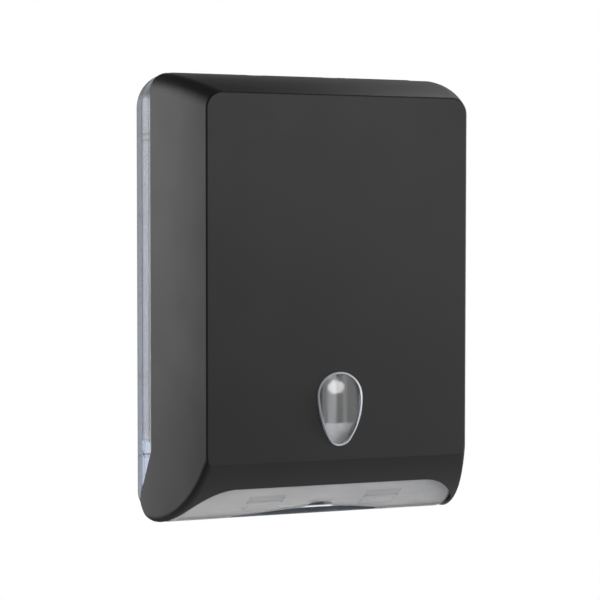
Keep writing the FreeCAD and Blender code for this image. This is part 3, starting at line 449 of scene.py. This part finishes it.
def metal_finish(name, metal, stretch, roughness):
    """Bare or plated metal with fine drawing or turning lines."""
    finish = finish_named(name)
    lines = finish.noise(waves=900.0, detail=3.0, roughness=0.6, stretch=stretch)
    stains = finish.noise(waves=60.0, detail=3.0, roughness=0.55)
    tint = finish.clouded(stains, metal, 1.04, 0.84, low=0.35, high=0.75)
    rough = roughness + lines.swing(0.16) + stains.swing(0.08)
    normal = finish.bump(lines, strength=0.2, distance=0.06)
    return finish.surface(Base_Color=tint, Roughness=rough, Normal=normal, Metallic=0.96)


def dress(node, material):
    """Gives a CAD node one procedural finish."""
    slots = frame["nodes"][node].data.materials
    slots.clear()
    slots.append(material)


class DISPENSER_OT_cover(bpy.types.Operator):
    """Finishes the charcoal cover"""
    bl_idname = "dispenser.cover"
    bl_label = "Cover"

    def execute(self, context):
        dress("front_cover", charcoal_finish(context.scene.dispenser_finishes))
        return {"FINISHED"}


class DISPENSER_OT_window(bpy.types.Operator):
    """Finishes the level window and the ring that holds it"""
    bl_idname = "dispenser.window"
    bl_label = "Level window"

    def execute(self, context):
        looks = context.scene.dispenser_finishes
        dress("level_window", window_finish(looks))
        dress("window_retainer", black_finish(looks))
        return {"FINISHED"}


class DISPENSER_OT_housing(bpy.types.Operator):
    """Finishes the smoke-clear rear housing"""
    bl_idname = "dispenser.housing"
    bl_label = "Rear housing"

    def execute(self, context):
        dress("rear_housing", smoke_finish(context.scene.dispenser_finishes))
        return {"FINISHED"}


class DISPENSER_OT_tray(bpy.types.Operator):
    """Finishes the outlet tray"""
    bl_idname = "dispenser.tray"
    bl_label = "Outlet tray"

    def execute(self, context):
        dress("outlet_tray", tray_finish(context.scene.dispenser_finishes))
        return {"FINISHED"}


class DISPENSER_OT_guides(bpy.types.Operator):
    """Finishes the two towel guides"""
    bl_idname = "dispenser.guides"
    bl_label = "Towel guides"

    def execute(self, context):
        frosted = guide_finish(context.scene.dispenser_finishes)
        dress("towel_guide_left", frosted)
        dress("towel_guide_right", frosted)
        return {"FINISHED"}


def sprung_coil(context, material):
    """The latch's spring as a piece of its own."""
    coil = bmesh.new()
    coil.from_mesh(frame["nodes"]["latch_spring"].data)
    bmesh.ops.remove_doubles(coil, verts=coil.verts, dist=0.001 * MILLIMETRE)
    for face in coil.faces:
        face.smooth = True
    mesh = bpy.data.meshes.new("spring_coil")
    coil.to_mesh(mesh)
    coil.free()
    mesh.materials.clear()
    mesh.materials.append(material)
    piece = bpy.data.objects.new("spring_coil", mesh)
    context.scene.collection.objects.link(piece)
    low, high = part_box("latch_spring")
    length = high.z - low.z
    joints = {joint["name"]: joint for joint in frame["record"]["behaviour"]["joints"]}
    travel = joints["latch_press"]["range_m"][1]
    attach(piece, "housing")
    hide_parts("latch_spring")
    (length - travel) / length
    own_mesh(piece)


class DISPENSER_OT_latch(bpy.types.Operator):
    """Finishes the latch's slider, retainer and catch, and makes its spring"""
    bl_idname = "dispenser.latch"
    bl_label = "Latch"

    def execute(self, context):
        looks = context.scene.dispenser_finishes
        dress("latch_slider", natural_finish(looks))
        dress("latch_retainer", black_finish(looks))
        sprung_coil(context, metal_finish("spring_wire", looks.steel, (1.0, 1.0, 0.2), 0.3))
        dress("cover_catch", metal_finish("catch_strip", looks.steel, (1.0, 0.05, 0.05), 0.34))
        return {"FINISHED"}


class DISPENSER_OT_pins(bpy.types.Operator):
    """Finishes the two hinge pins"""
    bl_idname = "dispenser.pins"
    bl_label = "Hinge pins"

    def execute(self, context):
        turned = metal_finish("turned_pin", context.scene.dispenser_finishes.steel, (1.0, 0.06, 0.06), 0.26)
        dress("hinge_pin_left", turned)
        dress("hinge_pin_right", turned)
        return {"FINISHED"}


class Group:
    """A Geometry Nodes tree under construction."""

    def __init__(self, name):
        self.tree = bpy.data.node_groups.new(name, "GeometryNodeTree")
        self.keys = {}
        self.add_socket("Geometry", "INPUT", "NodeSocketGeometry")
        self.add_socket("Geometry", "OUTPUT", "NodeSocketGeometry")
        self.source = self.tree.nodes.new("NodeGroupInput")
        self.result = self.tree.nodes.new("NodeGroupOutput")

    def add_socket(self, name, way, kind):
        """A socket of the group, its identifier kept for the modifier's inputs."""
        socket = self.tree.interface.new_socket(name=name, in_out=way, socket_type=kind)
        self.keys[name, way] = socket.identifier

    def length(self, name):
        """A named input for a size."""
        self.add_socket(name, "INPUT", "NodeSocketFloat")
        return self.source.outputs[name]

    def node(self, kind, settings=None, inputs=None):
        """A node of any type: its settings first, then the values or links of its sockets."""
        made = self.tree.nodes.new(kind)
        for name, value in (settings or {}).items():
            setattr(made, name, value)
        for name, value in (inputs or {}).items():
            for part in value if isinstance(value, list) else [value]:
                if isinstance(part, bpy.types.NodeSocket):
                    self.tree.links.new(part, made.inputs[name])
                else:
                    made.inputs[name].default_value = part
        return made

    def sum(self, operation, first, second):
        """A Math node."""
        return self.node("ShaderNodeMath", {"operation": operation}, {0: first, 1: second}).outputs[0]

    def vector(self, x=0.0, y=0.0, z=0.0):
        """A vector from three numbers or sockets."""
        return self.node("ShaderNodeCombineXYZ", None, {0: x, 1: y, 2: z}).outputs[0]

    def cylinder(self, sides, radius, length, share):
        """A cylinder along Z, its middle raised by a share of its length."""
        made = self.node("GeometryNodeMeshCylinder", {"fill_type": "NGON"}, {
            "Vertices": sides, "Radius": radius, "Depth": length})
        return self.moved(made.outputs["Mesh"], self.vector(z=self.sum("MULTIPLY", length, share)))

    def moved(self, geometry, offset, turn=(0.0, 0.0, 0.0)):
        """A piece of geometry moved and turned."""
        return self.node("GeometryNodeTransform", None, {"Geometry": geometry, "Translation": offset,
                                                         "Rotation": turn}).outputs[0]


def screw_tree(material):
    """A pan-head screw with a cross recess and a thread, stood on each point along a direction."""
    group = Group("pan_head_screws")
    head = group.length("Head radius")
    rise = group.length("Head height")
    core = group.length("Core radius")
    crest = group.length("Thread radius")
    pitch = group.length("Thread pitch")
    shank = group.length("Shank length")
    arm = group.length("Recess width")
    reach = group.length("Recess reach")
    depth = group.length("Recess depth")
    group.add_socket("Direction", "INPUT", "NodeSocketVector")
    direction = group.source.outputs["Direction"]
    rim_share = 0.5
    under_share = 1.2
    recess_sink = 0.45
    threaded_share = 0.86
    thread_end_share = 0.95
    rim_placed = group.cylinder(HEAD_SIDES, head, group.sum("MULTIPLY", rise, rim_share), 0.5)
    ball = group.node("GeometryNodeMeshUVSphere", None, {
        "Segments": HEAD_SIDES, "Rings": HEAD_SIDES // 2, "Radius": 1.0})
    dome = group.node("GeometryNodeTransform", None, {
        "Geometry": ball.outputs["Mesh"], "Scale": group.vector(head, head, rise)})
    pan = group.node("GeometryNodeMeshBoolean", {"operation": "UNION"}, {
        "Mesh 2": [rim_placed, dome.outputs[0]]})
    shaft_placed = group.cylinder(SHANK_SIDES, core, shank, -0.5)
    lower_placed = group.cylinder(HEAD_SIDES, group.sum("MULTIPLY", head, under_share), rise, -0.5)
    arms = []
    for turn in (0.0, math.pi / 2):
        cube = group.node("GeometryNodeMeshCube", None, {"Size": group.vector(reach, arm, depth)})
        lift = group.sum("SUBTRACT", rise, group.sum("MULTIPLY", depth, recess_sink))
        arms.append(group.moved(cube.outputs["Mesh"], group.vector(z=lift), (0.0, 0.0, turn)))
    cut = group.node("GeometryNodeMeshBoolean", {"operation": "DIFFERENCE"}, {
        "Mesh 1": pan.outputs["Mesh"], "Mesh 2": [lower_placed] + arms})
    threaded = group.sum("MULTIPLY", shank, threaded_share)
    helix = group.node("GeometryNodeCurveSpiral", None, {
        "Resolution": THREAD_STEPS, "Rotations": group.sum("DIVIDE", threaded, pitch), "Start Radius": core,
        "End Radius": core, "Height": threaded})
    ridge = group.node("GeometryNodeCurvePrimitiveCircle", {"mode": "RADIUS"}, {
        "Resolution": 4, "Radius": group.sum("SUBTRACT", crest, core)})
    thread = group.node("GeometryNodeCurveToMesh", None, {
        "Curve": helix.outputs[0], "Profile Curve": ridge.outputs[0], "Fill Caps": True})
    thread_start = group.sum("MULTIPLY", shank, -thread_end_share)
    thread_placed = group.moved(thread.outputs[0], group.vector(z=thread_start))
    joined = group.node("GeometryNodeJoinGeometry", None, {
        "Geometry": [cut.outputs["Mesh"], shaft_placed, thread_placed]})
    faceted = group.node("GeometryNodeSetShadeSmooth", None, {
        "Geometry": joined.outputs[0], "Shade Smooth": False})
    facing = group.node("FunctionNodeAlignRotationToVector", {"axis": "Z"}, {"Vector": direction})
    placed = group.node("GeometryNodeInstanceOnPoints", None, {
        "Points": group.source.outputs["Geometry"], "Instance": faceted.outputs[0],
        "Rotation": facing.outputs[0]})
    real = group.node("GeometryNodeRealizeInstances", None, {"Geometry": placed.outputs[0]})
    painted = group.node("GeometryNodeSetMaterial", None, {
        "Geometry": real.outputs[0], "Material": material})
    group.tree.links.new(painted.outputs[0], group.result.inputs["Geometry"])
    return group


def seat_mesh(name, seats):
    """One loose point for each screw, under its head."""
    mesh = bpy.data.meshes.new(name)
    mesh.from_pydata(seats, [], [])
    return mesh


def screw_seats(node, sizes, along):
    """Where a pair of screws sits, which way its heads face and how long its shanks are, by the CAD."""
    low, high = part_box(node)
    heads = (low.x + sizes.head_radius, high.x - sizes.head_radius)
    if along == "Y":
        seats = [(x, low.y + sizes.head_height, (low.z + high.z) / 2) for x in heads]
        return seats, (0.0, -1.0, 0.0), high.y - low.y - sizes.head_height
    seats = [(x, (low.y + high.y) / 2, low.z + sizes.head_height) for x in heads]
    return seats, (0.0, 0.0, -1.0), high.z - low.z - sizes.head_height


def make_screws(context, name, pairs, body, material):
    """One mesh of screws for one body, in place of the CAD's plain ones."""
    sizes = context.scene.dispenser_screws
    meshes = []
    for node, along in pairs:
        seats, direction, shank = screw_seats(node, sizes, along)
        group = screw_tree(material)
        holder = bpy.data.objects.new(name + "_seats", seat_mesh(name, seats))
        context.scene.collection.objects.link(holder)
        points = holder.modifiers.new("screws", "NODES")
        points.node_group = group.tree
        values = {"Head radius": sizes.head_radius, "Head height": sizes.head_height,
                  "Core radius": sizes.core_radius, "Thread radius": sizes.thread_radius,
                  "Thread pitch": sizes.thread_pitch, "Shank length": shank,
                  "Recess width": sizes.recess_width, "Recess reach": sizes.recess_reach,
                  "Recess depth": sizes.recess_depth, "Direction": direction}
        for label, value in values.items():
            points[group.keys[label, "INPUT"]] = value
        context.view_layer.update()
        graph = context.evaluated_depsgraph_get()
        meshes.append(bpy.data.meshes.new_from_object(holder.evaluated_get(graph)))
        bpy.data.objects.remove(holder)
    joined = bmesh.new()
    for mesh in meshes:
        joined.from_mesh(mesh)
    final = bpy.data.meshes.new(name)
    joined.to_mesh(final)
    joined.free()
    final.materials.append(material)
    if not final.polygons:
        raise RuntimeError("no screws were made for " + name)
    piece = bpy.data.objects.new(name, final)
    context.scene.collection.objects.link(piece)
    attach(piece, body)
    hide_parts(*[node for node, along in pairs])


class DISPENSER_OT_screws(bpy.types.Operator):
    """Makes the pan-head screws of the tray, the latch and the catch"""
    bl_idname = "dispenser.screws"
    bl_label = "Screws"

    def execute(self, context):
        zinc = metal_finish("zinc_plate", context.scene.dispenser_finishes.zinc, (1.0, 1.0, 1.0), 0.3)
        on_housing = [("tray_screws", "Y"), ("latch_screws", "Y")]
        make_screws(context, "housing_screws", on_housing, "housing", zinc)
        make_screws(context, "cover_screws", [("catch_screws", "Z")], "cover", zinc)
        return {"FINISHED"}


def area_light(context, name, place, target, extent, power):
    """A soft oval lamp that faces a point."""
    lamp = bpy.data.lights.new(name, "AREA")
    lamp.shape = "ELLIPSE"
    lamp.size, lamp.size_y = extent
    lamp.energy = power
    holder = bpy.data.objects.new(name, lamp)
    away = Vector(target) - Vector(place)
    turn = away.to_track_quat("-Z", "Y").to_matrix().to_4x4()
    holder.matrix_world = Matrix.Translation(Vector(place)) @ turn
    context.scene.collection.objects.link(holder)


def white_world(context, studio):
    """White to the camera and through clear plastic, and low behind the object, and soft grey elsewhere."""
    sky = Finish(bpy.data.worlds.new("studio_white"), "Generated")
    path = sky.node("ShaderNodeLightPath")
    seen = Value(sky, path.outputs["Is Camera Ray"]) + Value(sky, path.outputs["Is Transmission Ray"])
    gloss = Value(sky, path.outputs["Is Glossy Ray"])
    matt = Value(sky, path.outputs["Is Diffuse Ray"])
    low_full, low_end = 0.15, 0.45
    behind_start, behind_full = 0.1, 0.5
    low_sky = 1.0 - sky.band(abs(sky.axis("Z")), low_full, low_end)
    behind = sky.band(sky.axis("Y"), behind_start, behind_full) * low_sky
    level = seen + gloss * (behind + studio.sky_gloss) + matt * (behind + studio.sky_matt)
    white = sky.node("ShaderNodeBackground", None, {"Color": (1.0, 1.0, 1.0, 1.0), "Strength": level})
    context.scene.world = sky.done(white.outputs[0], "ShaderNodeOutputWorld")


def pale_floor(context, level, half):
    """A plain pale floor that keeps the object's shadow."""
    mesh = bpy.data.meshes.new("floor")
    sheet = bmesh.new()
    corners = ((-half, -half), (half, -half), (half, half), (-half, half))
    sheet.faces.new([sheet.verts.new((x, y, level)) for x, y in corners])
    sheet.to_mesh(mesh)
    sheet.free()
    floor = bpy.data.objects.new("floor", mesh)
    finish = finish_named("floor_pale")
    cloud = finish.noise(waves=3.0)
    tint = finish.mixed(cloud, tone((0.90, 0.90, 0.90)), tone((0.93, 0.93, 0.93)))
    mesh.materials.append(finish.surface(Base_Color=tint, Roughness=0.8))
    context.scene.collection.objects.link(floor)


def aim_camera(context, studio):
    """The camera at the photograph's angle."""
    yaw = studio.camera_yaw
    rise = studio.camera_rise
    roll = studio.camera_roll
    back = Vector((-math.sin(yaw) * math.cos(rise), -math.cos(yaw) * math.cos(rise), math.sin(rise)))
    right = Vector((math.cos(yaw), -math.sin(yaw), 0.0))
    up = right.cross(-back)
    level_right = math.cos(roll) * right + math.sin(roll) * up
    level_up = math.cos(roll) * up - math.sin(roll) * right
    place = Vector(studio.camera_target) + back * studio.camera_distance
    lens = bpy.data.cameras.new("studio_camera")
    lens.sensor_width = SENSOR_WIDTH
    lens.lens = studio.camera_lens
    lens.clip_end = FARTHEST_SEEN
    camera = bpy.data.objects.new("studio_camera", lens)
    turn = Matrix((level_right, level_up, back)).transposed().to_4x4()
    camera.matrix_world = Matrix.Translation(place) @ turn
    context.scene.collection.objects.link(camera)
    context.scene.camera = camera


class DISPENSER_OT_studio(bpy.types.Operator):
    """Sets up the camera, the pale floor and the soft lamps"""
    bl_idname = "dispenser.studio"
    bl_label = "Studio"

    def execute(self, context):
        studio = context.scene.dispenser_studio
        context.scene.view_settings.view_transform = "Standard"
        aim_camera(context, studio)
        white_world(context, studio)
        pale_floor(context, studio.floor_level, studio.floor_half)
        lamps = (
            ("front_softbox", (0.80, -1.45, 0.0), (0.06, -0.12, 0.0), (1.5, 1.9), studio.front_power),
            ("window_softbox", (0.30, -1.58, 0.42), (0.0, -0.13, -0.08), (0.95, 0.38), studio.window_power),
            ("right_softbox", (1.25, -0.42, 0.0), (0.12, -0.08, 0.0), (0.5, 1.1), studio.right_power),
            ("left_rear", (-1.00, 0.75, 0.3), (-0.14, -0.08, 0.0), (0.6, 1.4), studio.left_power),
            ("high_right", (0.62, 0.45, 0.95), (0.12, -0.06, 0.19), (0.45, 0.4), studio.top_power),
        )
        for name, place, target, extent, power in lamps:
            area_light(context, name, place, target, extent, power)
        return {"FINISHED"}


OPERATORS = (DISPENSER_OT_cover, DISPENSER_OT_window, DISPENSER_OT_housing, DISPENSER_OT_tray,
             DISPENSER_OT_guides, DISPENSER_OT_latch, DISPENSER_OT_pins, DISPENSER_OT_screws,
             DISPENSER_OT_studio)


class DISPENSER_PT_panel(bpy.types.Panel):
    """Lists the dispenser's pieces and their settings"""
    bl_label = "Folded Towel Dispenser"
    bl_idname = "DISPENSER_PT_panel"
    bl_space_type = "VIEW_3D"
    bl_region_type = "UI"
    bl_category = "Dispenser"

    def draw(self, context):
        layout = self.layout
        for operator in OPERATORS:
            layout.operator(operator.bl_idname)
        for group in (context.scene.dispenser_finishes, context.scene.dispenser_screws,
                      context.scene.dispenser_studio):
            box = layout.box()
            for name in group.bl_rna.properties.keys():
                if name not in ("rna_type", "name"):
                    box.prop(group, name)


CLASSES = (ScrewSizes, DispenserFinishes, StudioSettings, *OPERATORS, DISPENSER_PT_panel)


def register():
    """Registers the classes and their settings."""
    for kind in CLASSES:
        bpy.utils.register_class(kind)
    bpy.types.Scene.dispenser_screws = PointerProperty(type=ScrewSizes)
    bpy.types.Scene.dispenser_finishes = PointerProperty(type=DispenserFinishes)
    bpy.types.Scene.dispenser_studio = PointerProperty(type=StudioSettings)


def unregister():
    """Takes the settings and classes away again."""
    del bpy.types.Scene.dispenser_studio
    del bpy.types.Scene.dispenser_finishes
    del bpy.types.Scene.dispenser_screws
    for kind in reversed(CLASSES):
        bpy.utils.unregister_class(kind)


def main():
    """Registers the add-on and makes every piece in order."""
    register()
    for operator in OPERATORS:
        family, name = operator.bl_idname.split(".")
        getattr(getattr(bpy.ops, family), name)()


if __name__ == "__main__":
    main()
